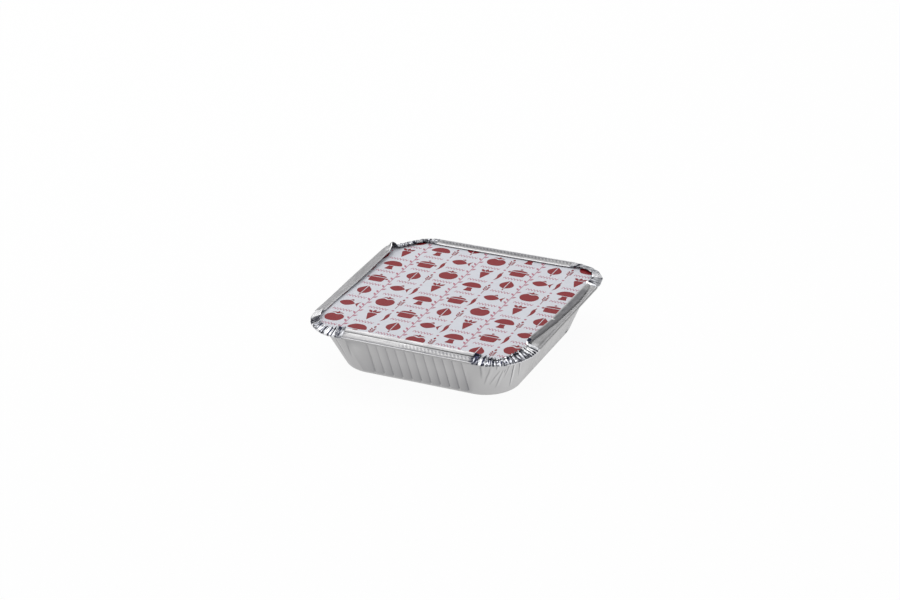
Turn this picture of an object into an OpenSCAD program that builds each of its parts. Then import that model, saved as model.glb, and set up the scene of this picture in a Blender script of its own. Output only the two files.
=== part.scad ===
// Square foil food container with its board lid crimped under the folded rim.
// Millimetres, +Z up. The origin is the middle of the base, on the table.

/* [Rim] */
// Side of the square rim, measured outside the bend
rim_side = 230; // [210:1:260]
// Corner radius of the rim
rim_r = 43; // [40:1:50]
// Height of the ledge that carries the lid, above the table
ledge_h = 46.8; // [35:0.2:60]
// Free height above the lid's edge, inside the outer bend
fold_room = 1.4; // [1:0.1:2]

/* [Body] */
// Side of the base, where the walls' planes meet the table
base_side = 176.4; // [160:0.2:184]
// Corner radius of the base
base_r = 32; // [26:1:36]
// Side across the tops of the walls
wall_top_side = 213; // [206:1:215]
// Corner radius at the tops of the walls
wall_top_r = 38; // [34:1:40]
// Radius of the rounded bottom edge
edge_r = 4; // [2:0.5:8]
// Radius of the bend from the wall to the ledge
shoulder_r = 1.5; // [1:0.1:2.2]
// Thickness of the foil
foil_t = 0.1; // [0.08:0.01:0.2]

/* [Base] */
// Width of the flat ring that stands on the table
foot_w = 9; // [6:0.5:14]
// Height of the base's centre panel above that ring
panel_rise = 1.5; // [0.8:0.1:3]
// Width of the slope between the ring and the panel
panel_slope = 2.5; // [1.5:0.1:5]

/* [Flutes] */
// Number of flutes along each wall
flute_count = 11; // [5:1:11]
// Distance between flutes
flute_pitch = 9.75; // [7:0.05:9.8]
// How far the row of flutes lies off the middle of its wall
flute_shift = 4; // [0:0.5:4]
// Width of one flute
flute_w = 2.2; // [1.5:0.1:4]
// Depth of one flute, pressed into the wall
flute_depth = 0.6; // [0.3:0.1:1.2]
// Height of the plain band between the rounded bottom edge and the flutes
flute_low = 0.7; // [0.3:0.1:6]
// Height of the plain band between the flutes and the shoulder
flute_high = 1.2; // [0.3:0.1:6]
// Height over which a flute runs out at its ends
flute_fade = 1.2; // [0.6:0.1:6]

/* [Folded lip] */
// Width of the lip that is folded in over the lid
lip_w = 11; // [8:0.5:14]
// Width to which the lip is crushed at the middle of a corner
lip_corner_w = 7.4; // [6:0.2:8]
// Width of the left lip, which is rolled narrower
lip_left_w = 7.4; // [6:0.2:11]
// How much higher the rim stands at the rear end of the left side
left_rise = 3.6; // [0:0.1:4]
// Width of the hem turned back on top of the lip
hem_w = 4; // [2.5:0.5:5]
// Width of the hem where the pleats crush it
hem_corner_w = 1.6; // [1:0.2:2.4]
// Radius of the hem's turn
hem_r = 0.3; // [0.2:0.05:0.6]
// Angle at which the front lip stands off the lid
lift_front = 33; // [0:1:40]
// Angle at which the pleated lip of the front corners stands off the lid
lift_corner = 22; // [0:1:40]
// Angle at which the right lip stands off the lid at its front end
lift_right_near = 34; // [0:1:40]
// Angle at which the right lip stands off the lid at its rear end
lift_right_far = 12; // [0:1:40]
// Angle at which the rear lip stands off the lid
lift_rear = 4; // [0:1:40]
// Angle at which the rear left corner's peak stands off the lid, where the left lip starts
lift_peak = 51; // [0:1:55]
// Angle at which the left lip stands off the lid
lift_left = 4; // [2:1:40]

/* [Pleats] */
// Distance between the pleats round the corners
pleat_pitch = 3.8; // [3.4:0.1:6]
// Height of the pleats at the lip's inner edge
pleat_rise = 1.3; // [0.6:0.1:2.5]
// How far the pleats push the outer bend in and out
pleat_wave = 0.6; // [0.2:0.1:0.8]
// How far the pleats of the front corners run on along the front side
reach_front = 4; // [0:1:12]
// How far they run on along the right side
reach_right = 10; // [0:1:25]
// How far they run on along the left side
reach_left = 2; // [0:1:12]
// How far short of the left side the rear left corner's pleats stop
reach_short = 8; // [0:1:20]
// How far the rear left corner is pushed in
dent_depth = 4; // [0:0.5:4.5]

/* [Lid] */
// Thickness of the lid's board
lid_t = 0.5; // [0.3:0.05:0.8]
// Gap between the lid's edge and the start of the outer bend
lid_gap = 0.4; // [0.2:0.1:1.5]
// Air left between foil and board where they lie on each other
seat_gap = 0.05; // [0.02:0.01:0.1]

/* [Print] */
// Distance between motifs along the rows
motif_pitch = 31; // [29:0.5:40]
// Distance between the rows
row_pitch = 30; // [28:0.5:40]
// Size of a motif
motif_size = 19; // [12:0.5:20]
// Width of the pale ruled lines between the rows
rule_w = 1.6; // [0.8:0.1:3]
// Width of the pale stripes between the columns
stripe_w = 1; // [0.6:0.1:3]
// Plain margin between the print and the lid's edge
print_margin = 4; // [3:0.5:8]
// Thickness of the ink
ink_t = 0.05; // [0.03:0.01:0.1]

/* [Hidden] */

// Outline: a square with rounded corners, walked from the left end of the front side.
// A place on it is q, from 0 to 8: an even step is a side and an odd step is a corner.
function turned(p, k) = [[p.x, p.y], [-p.y, p.x], [-p.x, -p.y], [p.y, -p.x]][k % 4];
function outline(q, half, r) =
    let (k = floor(q / 2), f = q - 2 * k, c = half - r, a = 90 * (f - 1) - 90)
    turned(f < 1 ? [c * (2 * f - 1), -half] : [c + r * cos(a), r * sin(a) - c], k);
function place(q, half, r, z) = let (p = outline(q, half, r)) [p.x, p.y, z];

// Foil heights and half sides, all for the middle of the sheet
half_t = foil_t / 2;
rim_half = rim_side / 2 - half_t;
rim_mid_r = rim_r - half_t;
base_half = base_side / 2 - half_t;
top_half = wall_top_side / 2 - half_t;
foot_z = half_t;
ledge_z = ledge_h - half_t;
bend_r = (lid_t + fold_room + foil_t) / 2;

// Wall: leans from the base to the shoulder
wall_lean = atan((top_half - base_half) / (ledge_z - foot_z));
function wall_half(z) = base_half + (z - foot_z) * tan(wall_lean);
function wall_r(z) = base_r + (wall_top_r - base_r) * (z - foot_z) / (ledge_z - foot_z);

// Rounded bottom edge and shoulder, as [angle of the sheet's outward normal, half side, height]
edge_turn = 90 - wall_lean;
edge_in = edge_r * tan(edge_turn / 2);
shoulder_in = shoulder_r * tan(edge_turn / 2);
edge_steps = 3;
edge_arc = [for (i = [0:edge_steps])
    let (a = -90 + edge_turn * i / edge_steps)
    [a, base_half - edge_in + edge_r * cos(a), foot_z + edge_r * (1 + sin(a))]];
shoulder_arc = [for (i = [0:edge_steps])
    let (a = -wall_lean - edge_turn * i / edge_steps)
    [a, top_half + shoulder_in - shoulder_r * cos(a), ledge_z - shoulder_r * (1 + sin(a))]];

// Places round the outline where a ring has its points
corner_steps = 8;
plain_places = [for (k = [0:3]) each concat([2 * k],
    [for (i = [0:corner_steps - 1]) 2 * k + 1 + i / corner_steps])];
function flute_x(i) = flute_shift + flute_pitch * (i - (flute_count - 1) / 2);
function fluted_places(c) = [for (k = [0:3]) each concat([2 * k],
    [for (i = [0:flute_count - 1]) for (e = [-1, 0, 1])
        2 * k + 0.5 + (flute_x(i) + e * flute_w / 2) / (2 * c)],
    [for (i = [0:corner_steps - 1]) 2 * k + 1 + i / corner_steps])];
// A flute's middle point is every third one of a side
function in_flute(i) =
    let (m = i % (3 * flute_count + 1 + corner_steps))
    m > 0 && m <= 3 * flute_count && m % 3 == 2 ? 1 : 0;

// Pleats: a valley and a ridge in turn, along the bend of each corner. Each corner has how far
// they start before it and end after it.
pleat_ends = [[reach_front, reach_right], [0, 0], [0, -reach_short], [reach_left, reach_front]];
side_l = 2 * (rim_half - rim_mid_r);
arc_l = PI / 2 * rim_mid_r;
function along(s) = s < 0 ? 1 + s / side_l : s <= arc_l ? 1 + s / arc_l : 2 + (s - arc_l) / side_l;
// The other way about: how far a place lies past the start of corner k
function run_past(q, k) =
    let (f = (q - 2 * k + 7) % 8 - 7)
    f < 1 ? (f - 1) * side_l : f <= 2 ? (f - 1) * arc_l : arc_l + (f - 2) * side_l;
function pleat_places(k) =
    let (start = -pleat_ends[k][0], end = arc_l + pleat_ends[k][1],
         n = round((end - start) / pleat_pitch))
    [for (i = [0:2 * n]) 2 * k + along(start + (end - start) * i / (2 * n))];
// Plain places round the rest of a corner, where its pleats stop short
function rest_places(k) = pleat_ends[k][1] >= 0 ? [] :
    [for (i = [1:3]) 2 * k + along(arc_l + pleat_ends[k][1] * (1 - i / 3))];
lip_places = [for (k = [0:3]) each concat([2 * k + 0.5], pleat_places(k), rest_places(k))];
lip_ridges = [for (k = [0:3]) each concat(
    [0], [for (i = [0:len(pleat_places(k)) - 1]) i % 2], [for (p = rest_places(k)) 0])];
chance = rands(0, 1, 400, 11);

// How the lip stands off the lid, and how the rear left corner is pushed in
seat_drop = asin((fold_room - ink_t - 2 * seat_gap) / lip_w);
lift_turns = [[0, lift_front], [1, lift_front], [1.1, lift_corner], [1.9, lift_corner],
    [2.12, lift_right_near], [2.6, (lift_right_near + lift_right_far) / 2.4], [3, lift_right_far],
    [3.5, (lift_right_far + lift_rear) / 2], [4, lift_rear], [5, lift_rear],
    [5.82, lift_rear + 2], [5.89, lift_peak], [6.05, lift_left], [6.95, lift_left],
    [7.1, lift_corner], [7.9, lift_corner], [8, lift_front], [9, lift_front]];
function lift(q) = lookup(q, lift_turns) - seat_drop;
// The lip is narrower round the corners, and the hem is crushed in the pleats
function part_of(q) = q % 2 - 1;
function crushed(q) = lookup(part_of(q), [[-0.06, 0], [0.25, 1], [0.75, 1], [1.05, 0]]);
function lip_at(q) = q > 5.5 && q < 7.5
    ? lookup(q, [[5.7, lip_corner_w], [5.9, lip_left_w], [6.9, lip_left_w], [7.2, lip_corner_w]])
    : lip_w + (lip_corner_w - lip_w) * crushed(q);
// The bend of the left side reaches higher, most at its rear end
function raised(q) = left_rise * lookup(q, [[5.84, 0], [5.9, 0.8], [6.05, 1], [6.5, 0.65], [7, 0]]);
function pleated(q) = let (k = floor(((q + 7.5) % 8) / 2), s = run_past(q, k))
    s >= -pleat_ends[k][0] && s <= arc_l + pleat_ends[k][1];
function hem_at(q) = pleated(q) ? hem_corner_w : hem_w;
function dent(q) = q > 5 && q < 6 ? dent_depth * pow(sin(180 * pow(q - 5, 1.25)), 2) : 0;

// A ring of the sheet: its places, and its points on the side d of the sheet's middle
function plain_ring(a, half, z, r, d) =
    [for (q = plain_places) place(q, half + d * cos(a), r + d * cos(a), z + d * sin(a))];
function fluted_ring(z, depth, d) =
    let (half = wall_half(z), r = wall_r(z), e = d * cos(wall_lean), qs = fluted_places(half - r))
    [for (i = [0:len(qs) - 1]) let (w = e - depth * in_flute(i))
        place(qs[i], half + w, r + w, z - d * sin(wall_lean))];
function bent_ring(places, a, wave, d) =
    [for (i = [0:len(places) - 1])
        let (q = places[i], w = (bend_r + d) * cos(a) - bend_r - dent(q)
                - wave * lip_ridges[i] * (0.5 + chance[i]))
        place(q, rim_half + w, rim_mid_r + w, ledge_z + bend_r + (bend_r + d) * sin(a))];

// Lip and hem, seen in section. A ring lies at a part of the lip's width, less a part of the hem's,
// and over that by so much again.
function lip_ring(lip_part, hem_part, over, rise, turn, pleat, d) =
    [for (i = [0:len(lip_places) - 1])
        let (q = lip_places[i], f = lift(q), a = 90 - f,
             run = lip_part * lip_at(q) - hem_part * hem_at(q) + over,
             up = pleat * pleat_rise * lip_ridges[i] * (0.5 + chance[i]),
             x = bend_r * cos(a) - run * cos(f) + rise * sin(f) + d * cos(a + turn),
             z = bend_r * sin(a) + run * sin(f) + rise * cos(f) + d * sin(a + turn),
             w = x - bend_r - dent(q))
        place(q, rim_half + w, rim_mid_r + w, ledge_z + bend_r + z + up + raised(q))];

// Heights at which the flutes start and end
flute_start = edge_arc[edge_steps][2] + flute_low;
flute_end = shoulder_arc[0][2] - flute_high;

// Every ring from the base panel to the hem's edge, as [places, points]
panel_half = base_half - edge_in - foot_w;
function rings(d) = concat(
    [[plain_places, plain_ring(-90, panel_half - panel_slope, foot_z + panel_rise,
        base_r - foot_w, d)],
     [plain_places, plain_ring(-90, panel_half, foot_z, base_r - foot_w, d)]],
    [for (e = edge_arc) [plain_places, plain_ring(e[0], e[1], e[2], wall_r(e[2]), d)]],
    [for (e = [[flute_start, 0], [flute_start + flute_fade, 1], [flute_end - flute_fade, 1], [flute_end, 0]])
        let (c = wall_half(e[0]) - wall_r(e[0]))
        [fluted_places(c), fluted_ring(e[0], e[1] * flute_depth, d)]],
    [for (e = shoulder_arc) [plain_places, plain_ring(e[0], e[1], e[2], wall_top_r, d)]],
    [[lip_places, bent_ring(lip_places, -90, 0, d)],
     [lip_places, bent_ring(lip_places, 0, pleat_wave, d)],
     [lip_places, lip_ring(0, 0, 0, 0, 0, 0.2, d)],
     [lip_places, lip_ring(1, 0, 0, 0, 0, 1, d)],
     [lip_places, lip_ring(1, 0, hem_r, hem_r, -90, 1, d)],
     [lip_places, lip_ring(1, 1, 0, 2 * hem_r, 180, 0.7, d)]]);

// Strip of triangles between two rings, which may have different numbers of points
function before(list, x) = len([for (v = list) if (v < x) v]);
function upto(list, x) = len([for (v = list) if (v <= x) v]);
function middles(p) = [for (i = [0:len(p) - 1]) (p[i] + (i < len(p) - 1 ? p[i + 1] : p[0] + 8)) / 2];
function strip(pa, pb, a0, b0) =
    let (na = len(pa), nb = len(pb), ma = middles(pa), mb = middles(pb))
    concat([for (i = [0:na - 1]) [a0 + i, a0 + (i + 1) % na, b0 + before(mb, ma[i]) % nb]],
        [for (j = [0:nb - 1]) [b0 + (j + 1) % nb, b0 + j, a0 + upto(ma, mb[j]) % na]]);
function starts(rs, i = 0, at = 0) = i == len(rs) ? [] : concat([at], starts(rs, i + 1, at + len(rs[i][0])));
function flipped(faces) = [for (f = faces) [for (i = [len(f) - 1:-1:0]) f[i]]];

module foil_tray() {
    low = rings(half_t);
    high = rings(-half_t);
    n = len(low);
    at = starts(low);
    total = at[n - 1] + len(low[n - 1][0]);
    skin = [for (i = [0:n - 2]) each strip(low[i][0], low[i + 1][0], at[i], at[i + 1])];
    cap = [[for (i = [len(plain_places) - 1:-1:0]) i]];
    edge = strip(low[n - 1][0], low[n - 1][0], at[n - 1], at[n - 1] + total);
    color([0.76, 0.77, 0.79])
        polyhedron(
            points = concat([for (r = low) each r[1]], [for (r = high) each r[1]]),
            faces = flipped(concat(cap, skin, edge,
                flipped([for (f = concat(cap, skin)) [for (v = f) v + total]]))),
            convexity = 8);
}

// Lid: it ends where the outer bend starts, and its corners clear the corner that is pushed in
lid_half = rim_half - bend_r - lid_gap;
lid_r = rim_mid_r - bend_r - lid_gap + dent_depth / (sqrt(2) - 1);
lid_z = ledge_h + seat_gap;
lid_top = lid_z + lid_t;

module rounded_square(half, r) {
    square([2 * half, 2 * (half - r)], center = true);
    square([2 * (half - r), 2 * half], center = true);
    for (x = [-1, 1]) for (y = [-1, 1])
        translate([x * (half - r), y * (half - r)]) circle(r = r, $fn = 64);
}

module board_lid() {
    color([0.9, 0.9, 0.93])
        translate([0, 0, lid_z]) linear_extrude(lid_t) rounded_square(lid_half, lid_r);
}

// Motifs, each drawn about its middle in a square of side 1
module tomato() {
    circle(r = 0.42, $fn = 12);
    translate([0, 0.44]) square([0.34, 0.09], center = true);
    translate([-0.04, 0.44]) square([0.08, 0.14]);
}
module pot() {
    translate([-0.38, -0.42]) square([0.76, 0.42]);
    translate([-0.5, -0.16]) square([1, 0.09]);
    polygon([[-0.38, 0.06], [0.38, 0.06], [0.2, 0.24], [-0.2, 0.24]]);
    translate([-0.06, 0.2]) square([0.12, 0.14]);
}
module mushroom() {
    polygon([[-0.45, 0], [0.45, 0], [0.38, 0.24], [0.18, 0.4], [-0.18, 0.4], [-0.38, 0.24]]);
    polygon([[-0.13, 0.02], [-0.18, -0.44], [0.18, -0.44], [0.13, 0.02]]);
}
module fish() {
    polygon([[-0.5, 0], [-0.32, 0.18], [-0.05, 0.24], [0.22, 0.06], [0.48, 0.24], [0.42, 0],
        [0.48, -0.24], [0.22, -0.06], [-0.05, -0.24], [-0.32, -0.18]]);
}
module carrot() {
    polygon([[-0.16, 0.2], [0, -0.48], [0.16, 0.2]]);
    polygon([[-0.05, 0.24], [-0.2, 0.48], [0, 0.4], [0.2, 0.48], [0.05, 0.24]]);
}
module leaf() {
    polygon([[0, -0.48], [0.04, -0.26], [0.2, -0.04], [0.14, 0.26], [0, 0.46], [-0.14, 0.26],
        [-0.2, -0.04], [-0.04, -0.26]]);
}
module chilli() {
    polygon([[-0.06, 0.3], [0.02, 0.5], [0.08, 0.3], [0.11, 0.06], [-0.09, -0.48], [-0.08, 0.08]]);
}
module ear() {
    polygon([[0, 0.5], [0.13, 0.2], [0.04, -0.1], [0, -0.5], [-0.04, -0.1], [-0.13, 0.2]]);
}
module motif(i) {
    scale(motif_size) {
        if (i % 6 == 0) pot();
        if (i % 6 == 1) leaf();
        if (i % 6 == 2) fish();
        if (i % 6 == 3) tomato();
        if (i % 6 == 4) carrot();
        if (i % 6 == 5) mushroom();
    }
}

// Columns of motifs, each dropped half a row against the last, with slender ones beside every other
// column and a pale stripe on its other side
print_half = lid_half - print_margin;
columns = ceil(print_half / motif_pitch);
rows = ceil(print_half / row_pitch);
module half_drop() {
    for (c = [-columns:columns]) for (r = [-rows:rows])
        let ($c = c, $r = r)
        translate([c * motif_pitch, (r + 0.5 * (abs(c) % 2)) * row_pitch]) children();
}
module printed() {
    translate([0, 0, lid_top]) linear_extrude(ink_t) intersection() {
        rounded_square(print_half, lid_r - print_margin);
        children();
    }
}

module lid_print() {
    color([0.56, 0.2, 0.25]) printed() half_drop() {
        motif(2 * $c - $r + 60);
        if ($c % 2 == 0)
            translate([motif_pitch / 2, 0]) scale(motif_size) if ($r % 2 == 0) chilli(); else ear();
    }
}

module lid_rules() {
    color([0.8, 0.6, 0.65]) printed() half_drop() {
        translate([0, row_pitch / 2]) square([motif_size, rule_w], center = true);
        if ($c % 2 == 0 && $r == 0)
            translate([-motif_pitch / 2, 0]) square([stripe_w, 2 * print_half], center = true);
    }
}

foil_tray();
board_lid();
lid_print();
lid_rules();
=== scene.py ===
import math

import bmesh
import bpy
from mathutils import Matrix, Vector, noise


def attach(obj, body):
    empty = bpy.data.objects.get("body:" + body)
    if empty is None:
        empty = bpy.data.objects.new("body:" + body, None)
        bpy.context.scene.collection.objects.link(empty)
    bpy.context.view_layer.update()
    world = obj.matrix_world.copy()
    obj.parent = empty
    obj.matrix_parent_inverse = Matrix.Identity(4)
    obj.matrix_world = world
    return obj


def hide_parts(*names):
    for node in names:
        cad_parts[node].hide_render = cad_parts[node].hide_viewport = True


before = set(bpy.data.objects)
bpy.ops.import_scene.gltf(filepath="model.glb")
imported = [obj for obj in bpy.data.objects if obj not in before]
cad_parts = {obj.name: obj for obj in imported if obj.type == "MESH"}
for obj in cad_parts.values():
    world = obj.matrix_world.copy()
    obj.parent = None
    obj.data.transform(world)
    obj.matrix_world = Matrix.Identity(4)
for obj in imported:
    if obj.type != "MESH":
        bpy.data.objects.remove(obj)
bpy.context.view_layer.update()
mm = 0.001

# sheet sizes in millimetres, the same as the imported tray's
sheet = {
    "rimHalf": 114.95, "rimRadius": 42.95, "ledgeHeight": 46.75, "bendRadius": 1.0,
    "baseHalf": 88.15, "baseRadius": 32.0, "topHalf": 106.45, "topRadius": 38.0,
    "edgeRadius": 4.0, "shoulderRadius": 1.5, "footHeight": 0.05, "footWidth": 9.0,
    "panelRise": 1.5, "panelSlope": 2.5, "thickness": 0.1,
}


class Wire:
    # one output of a material's node tree; arithmetic on it adds Math nodes
    def __init__(self, tree, socket=None):
        self.tree = tree
        self.socket = socket

    def node(self, kind, settings=None, inputs=None, output=0):
        made = self.tree.nodes.new(kind)
        for name, value in (settings or {}).items():
            if name == "stops":
                for place, _ in value[2:]:
                    made.color_ramp.elements.new(place)
                for stop, (place, shade) in zip(made.color_ramp.elements, value):
                    stop.position = place
                    stop.color = (shade, shade, shade, 1)
            else:
                setattr(made, name, value)
        for name, value in (inputs or {}).items():
            if isinstance(value, Wire):
                self.tree.links.new(value.socket, made.inputs[name])
            else:
                made.inputs[name].default_value = value
        return Wire(self.tree, made.outputs[output])

    def maths(self, operation, *values):
        return self.node("ShaderNodeMath", {"operation": operation}, dict(enumerate(values)))

    def __add__(self, other):
        return self.maths("ADD", self, other)

    def __sub__(self, other):
        return self.maths("SUBTRACT", self, other)

    def __rsub__(self, other):
        return self.maths("SUBTRACT", other, self)

    def __mul__(self, other):
        return self.maths("MULTIPLY", self, other)

    __radd__ = __add__
    __rmul__ = __mul__


def newMaterial(name, constants):
    # a Principled material, its constant sockets set, and a Wire to build the rest with
    material = bpy.data.materials.new(name)
    material.use_nodes = True
    shader = material.node_tree.nodes["Principled BSDF"]
    for socket, value in constants.items():
        shader.inputs[socket].default_value = value
    return material, shader, Wire(material.node_tree)


def feed(shader, socket, wire):
    wire.tree.links.new(wire.socket, shader.inputs[socket])


def mixColour(wire, factor, first, second):
    return wire.node("ShaderNodeMix", {"data_type": "RGBA"}, {0: factor, 6: first, 7: second}, 2)


def mix(a, b, t):
    return a + (b - a) * t


def smooth(low, high, value):
    t = min(max((value - low) / (high - low), 0.0), 1.0)
    return t * t * (3 - 2 * t)


def peak(value, middle, reach):
    # 1 at the middle, down in straight lines to 0 at the reach
    return max(0.0, 1 - abs(value - middle) / reach)


def bell(value, middle, reach):
    # 1 at the middle, down in a soft curve on both sides
    return math.exp(-((value - middle) / reach) ** 2)


def grain(x, y, layer):
    # soft noise from -1 to 1
    return noise.noise(Vector((x, y, layer)))


def chance(number, salt=0.0):
    # the same number in, the same chance from 0 to 1 out
    return 0.5 + 0.5 * math.sin(number * 127.1 + salt * 311.7 + math.sin(number * 53.3 + salt) * 17.0)


def along(value, points):
    # linear reading of a short table of [place, value]
    for (p0, v0), (p1, v1) in zip(points, points[1:]):
        if value <= p1:
            return mix(v0, v1, min(max((value - p0) / (p1 - p0), 0.0), 1.0))
    return points[-1][1]


def onOutline(place, half, radius):
    # a point of a square with rounded corners, and the way out of it there; place runs from 0 to 8 round it,
    # from 0 to 1 along the front side, 1 to 2 round the front right corner, and so on by the rear and left
    quarter = math.floor(place / 2)
    part = place - 2 * quarter
    straight = half - radius
    if part < 1:
        x, y, nx, ny = straight * (2 * part - 1), -half, 0.0, -1.0
    else:
        turn = math.radians(90 * (part - 1) - 90)
        nx, ny = math.cos(turn), math.sin(turn)
        x, y = straight + radius * nx, radius * ny - straight
    for _ in range(int(quarter) % 4):
        x, y, nx, ny = -y, x, -ny, nx
    return Vector((x, y)), Vector((nx, ny))


sideLength = 2 * (sheet["rimHalf"] - sheet["rimRadius"])
cornerLength = math.pi / 2 * sheet["rimRadius"]
quarterLength = sideLength + cornerLength


def rimPlace(run):
    # distance walked along the rim, in millimetres, to a place on the outline
    quarter = math.floor(run / quarterLength)
    rest = run - quarter * quarterLength
    if rest < sideLength:
        return 2 * quarter + rest / sideLength
    return 2 * quarter + 1 + (rest - sideLength) / cornerLength


def rimRun(place):
    # the other way round: from a place on the outline to the distance walked along the rim
    quarter = math.floor(place / 2)
    part = place - 2 * quarter
    if part < 1:
        return quarter * quarterLength + part * sideLength
    return quarter * quarterLength + sideLength + (part - 1) * cornerLength


print("scene: frame loaded")

# walls and base, in millimetres; tone is the painted shade and highlight across a flute, as [across, dark]
flutes = {
    "count": 11, "pitch": 9.75, "shift": 4.0, "width": 2.2, "depth": 0.6, "recess": 0.35,
    "low": 2.8, "high": 2.2, "fade": 1.2, "tick": 0.6,
    "tone": [[-1.3, 0.1], [-0.3, 0.3], [0.1, 0.2], [0.6, -0.25], [1.3, -0.05], [4, 0.0]],
    "toneGain": [0.7, 1.15],  # at the wall's left end and at its right end
    "across": [-1.3, -0.8, -0.3, 0.1, 0.6, 1.3, 4.0], "plainEnds": [0.045, 0.965],
    "lowRings": [0, 0.5, 1.0, 1.6, 2.4], "highRings": [1.5, 0.7, 0.0], "rings": 15,
}
wall = {"cornerSteps": [96, 64, 64, 64], "edgeSteps": 4, "shoulderSteps": 3, "plainBelow": 3.0,
        "swell": 0.3, "blotches": 0.08, "lowShade": 0.07, "frontLowShade": 0.16, "cornerLight": 0.17}
wallLean = math.atan((sheet["topHalf"] - sheet["baseHalf"]) / (sheet["ledgeHeight"] - sheet["footHeight"]))


def wallHalf(height):
    return sheet["baseHalf"] + (height - sheet["footHeight"]) * math.tan(wallLean)


def wallRadius(height):
    part = (height - sheet["footHeight"]) / (sheet["ledgeHeight"] - sheet["footHeight"])
    return mix(sheet["baseRadius"], sheet["topRadius"], part)


def bodyPlaces():
    # places round the body's rings: dense across each flute, as (side, x), and even round the corners
    places = []
    for side in range(4):
        places += [2 * side, 2 * side + flutes["plainEnds"][0]]
        for flute in range(flutes["count"]):
            middle = flutes["shift"] + flutes["pitch"] * (flute - (flutes["count"] - 1) / 2)
            places += [(side, middle + step) for step in flutes["across"]]
        places += [2 * side + flutes["plainEnds"][1]]
        steps = wall["cornerSteps"][side]
        places += [2 * side + 1 + step / steps for step in range(steps)]
    return places


def bodyProfile():
    # the sheet's section from the base panel to the ledge, as [half side, radius, height, lean of the
    # outside], and the numbers of its first ring on the wall and its first ring past it
    turn = math.pi / 2 - wallLean
    edge, shoulder = sheet["edgeRadius"], sheet["shoulderRadius"]
    edgeIn, shoulderIn = edge * math.tan(turn / 2), shoulder * math.tan(turn / 2)
    foot = sheet["footHeight"]
    panel = foot + sheet["panelRise"]
    panelHalf = sheet["baseHalf"] - edgeIn - sheet["footWidth"]
    panelRadius = sheet["baseRadius"] - sheet["footWidth"]
    profile = [[panelHalf - sheet["panelSlope"] - 1, panelRadius, panel, -90],
               [panelHalf - sheet["panelSlope"], panelRadius, panel - 0.1, -80],
               [panelHalf, panelRadius, foot + 0.08, -80],
               [panelHalf + 0.8, panelRadius + 0.8, foot, -90]]
    for step in range(wall["edgeSteps"] + 1):
        lean = -math.pi / 2 + turn * step / wall["edgeSteps"]
        height = foot + edge * (1 + math.sin(lean))
        profile.append([sheet["baseHalf"] - edgeIn + edge * math.cos(lean), wallRadius(height), height,
                        math.degrees(lean)])
    firstWall = len(profile)
    low, high = flutes["low"], sheet["ledgeHeight"] - flutes["high"]
    heights = [low + step for step in flutes["lowRings"]]
    heights += [mix(low + flutes["lowRings"][-1], high - flutes["highRings"][0], step / flutes["rings"])
                for step in range(1, flutes["rings"])]
    heights += [high - step for step in flutes["highRings"]]
    for height in heights:
        profile.append([wallHalf(height), wallRadius(height), height, -math.degrees(wallLean)])
    lastWall = len(profile)
    for step in range(wall["shoulderSteps"] + 1):
        lean = -wallLean - turn * step / wall["shoulderSteps"]
        profile.append([sheet["topHalf"] + shoulderIn - shoulder * math.cos(lean), sheet["topRadius"],
                        sheet["ledgeHeight"] - shoulder * (1 + math.sin(lean)), math.degrees(lean)])
    return profile, firstWall, lastWall


def fluteAt(x, height):
    # the fluted stretch of a wall is pressed in a little, and each flute is a narrow V in it; gives how deep
    # the foil lies and its painted shade, above 0 on the V's left flank, and painted highlight, below 0 on
    # its right one
    low, high, fade = flutes["low"], sheet["ledgeHeight"] - flutes["high"], flutes["fade"]
    ends = smooth(low, low + fade, height) * (1 - smooth(high - fade, high, height))
    across, pitch = x - flutes["shift"], flutes["pitch"]
    reach = pitch * (flutes["count"] - 1) / 2
    beyond = abs(across) - reach
    if beyond >= 2:
        return 0.0, 0.0
    away = (across + pitch / 2) % pitch - pitch / 2
    groove = peak(away, 0, flutes["width"] / 2)
    shade = along(away, flutes["tone"]) * mix(*flutes["toneGain"], smooth(-reach, reach, across))
    # painted highlight at the bright foot of the flute
    shade -= flutes["tick"] * groove * (1 - smooth(low + 0.6, low + 2.4, height))  # bright foot of the flute
    return ends * (flutes["recess"] * (1 - smooth(0, 1.2, beyond)) + flutes["depth"] * groove), ends * shade


# creases in the walls' corners: the front right one's listed, as [place at the top, place at the bottom,
# height of the top, height of the bottom, depth, width], and each other corner's by chance
creases = {
    "byHand": [
        [1.75, 1.85, 42, 16, 0.9, 1.0], [1.645, 1.67, 42, 5, 1.0, 1.1], [1.35, 1.36, 41, 37, 0.8, 1.0],
        [1.50, 1.50, 35, 30, 0.6, 1.0], [1.42, 1.25, 35, 13, 0.3, 1.6], [1.25, 1.18, 39, 13, 0.25, 1.8],
        [1.46, 1.38, 34, 8, 0.35, 1.4], [1.08, 1.13, 44, 22, 0.25, 2.0], [1.57, 1.50, 43, 22, 0.35, 1.2],
        [0.01, 0.02, 45, 26, 0.25, 2.4], [0.05, 0.06, 45, 32, 0.2, 2.0],
    ],
    "each": 7, "depth": 0.22, "width": 1.2, "slant": 0.3, "tops": [46, 34], "bottoms": [4, 22],
    "spread": [0.97, 1.05], "reach": 0.6, "wander": 0.5, "sink": 0.8, "darkFlank": 2.3, "lightFlank": 0.5,
}


def creaseTable():
    table = list(creases["byHand"])
    start, length = creases["spread"]
    for corner in range(1, 4):
        for number in range(creases["each"]):
            pick = [chance(10 * corner + number, salt) for salt in (21, 22, 23, 24, 25)]
            top = 2 * corner + start + length * (number + pick[0]) / creases["each"]
            table.append([top, top + creases["slant"] * (pick[1] - 0.5), mix(*creases["tops"], pick[2]),
                          mix(*creases["bottoms"], pick[3]), creases["depth"] * (0.5 + pick[4]),
                          creases["width"] * (0.6 + pick[0])])
    return table


creaseRows = creaseTable()


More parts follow.
